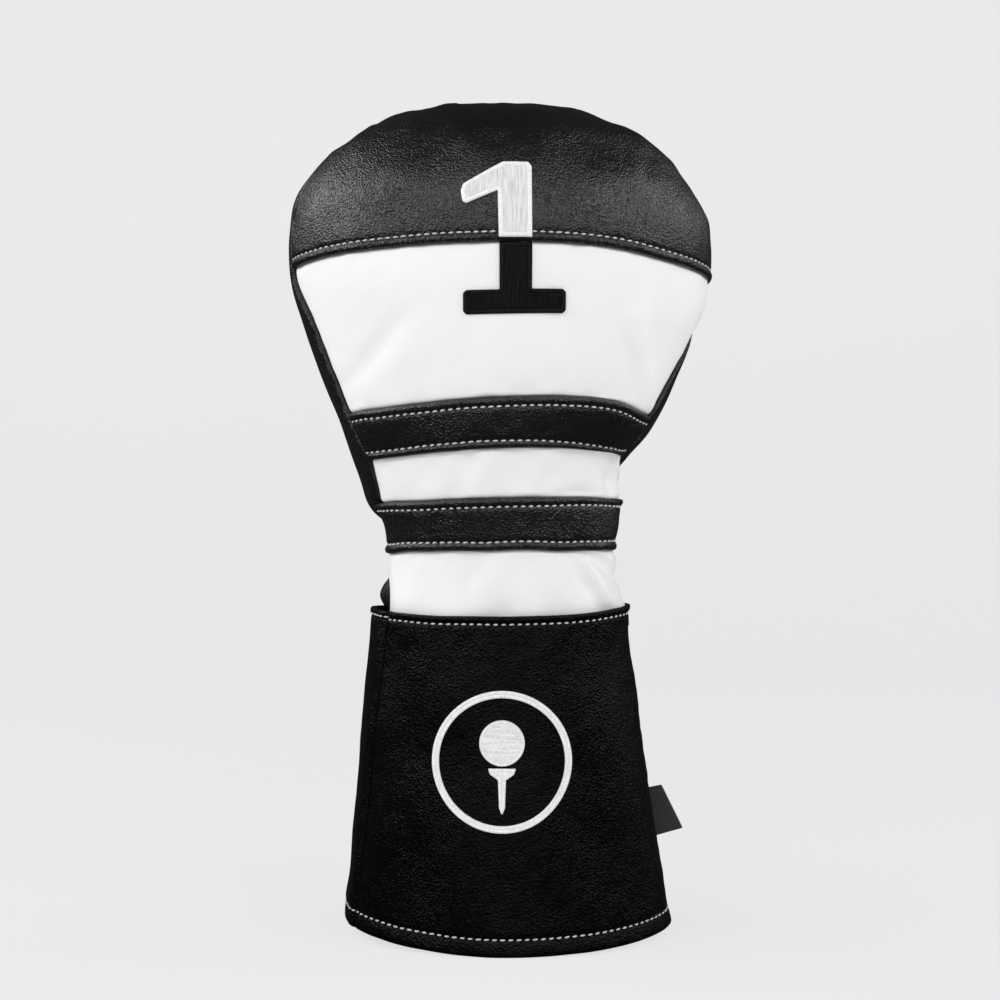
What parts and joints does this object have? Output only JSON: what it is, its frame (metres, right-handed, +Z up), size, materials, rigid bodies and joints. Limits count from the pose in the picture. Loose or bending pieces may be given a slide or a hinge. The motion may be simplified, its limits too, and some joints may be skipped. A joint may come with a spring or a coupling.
{
  "type": "golf driver head cover",
  "caption": "Padded leather-look cover for a golf driver head, with a rounded head pocket, banded elastic neck, flared cuff and a small side tab.",
  "frame": {"origin": "on the hem plane, at the middle of the outline seen from above", "axes": "+Z up from the hem to the crown; the decorated front faces -Y; +X is to the right seen from the front"},
  "size_m": [0.1666, 0.1094, 0.3205],
  "materials": {
    "black_leather": "fine pebbled grain, semi-matt",
    "white_leather": "smooth soft leather with slight creases, satin",
    "foam": "open-cell foam sheet",
    "elastic": "knitted elastic tape",
    "fleece": "brushed pile lining",
    "cuff_lining": "plain knit lining",
    "woven_tab": "woven ribbon, slight sheen",
    "thread": "twisted polyester thread",
    "white_embroidery": "satin-stitched thread",
    "black_embroidery": "satin-stitched thread"
  },
  "bodies": {
    "cover": {"crown_panel": "black_leather", "upper_front_panel": "white_leather", "upper_band": "black_leather", "mid_front_panel": "white_leather", "lower_band": "black_leather", "neck_front_panel": "white_leather", "upper_back_panel": "black_leather", "neck_back_panel": "black_leather", "head_padding_front": "foam", "head_padding_back": "foam", "neck_elastic": "elastic", "head_lining_front": "fleece", "head_lining_back": "fleece", "neck_lining_front": "fleece", "neck_lining_back": "fleece", "cuff_front_panel": "black_leather", "cuff_back_panel": "black_leather", "tab_seam_end": "woven_tab", "cuff_lining_front": "cuff_lining", "cuff_lining_back": "cuff_lining", "hem_facing": "black_leather", "cuff_turned_edge_front": "black_leather", "cuff_turned_edge_back": "black_leather", "crown_topstitch": "thread", "upper_band_topstitch": "thread", "lower_band_topstitch": "thread", "cuff_topstitch": "thread", "hem_topstitch": "thread", "numeral_upper": "white_embroidery", "numeral_lower": "black_embroidery", "emblem_ring": "white_embroidery", "emblem_ball": "white_embroidery", "emblem_tee": "white_embroidery"},
    "tab": {"side_tab": "woven_tab"}
  },
  "joints": [
    {"name": "tab_hinge", "type": "hinge", "parent": "cover", "child": "tab", "pos_m": [0.06125, 0.0019, 0.0459], "axis": [-0.1489, 0, 0.9889], "range_deg": [-65, 65], "stiffness_Nm_per_rad": 0.002}
  ]
}
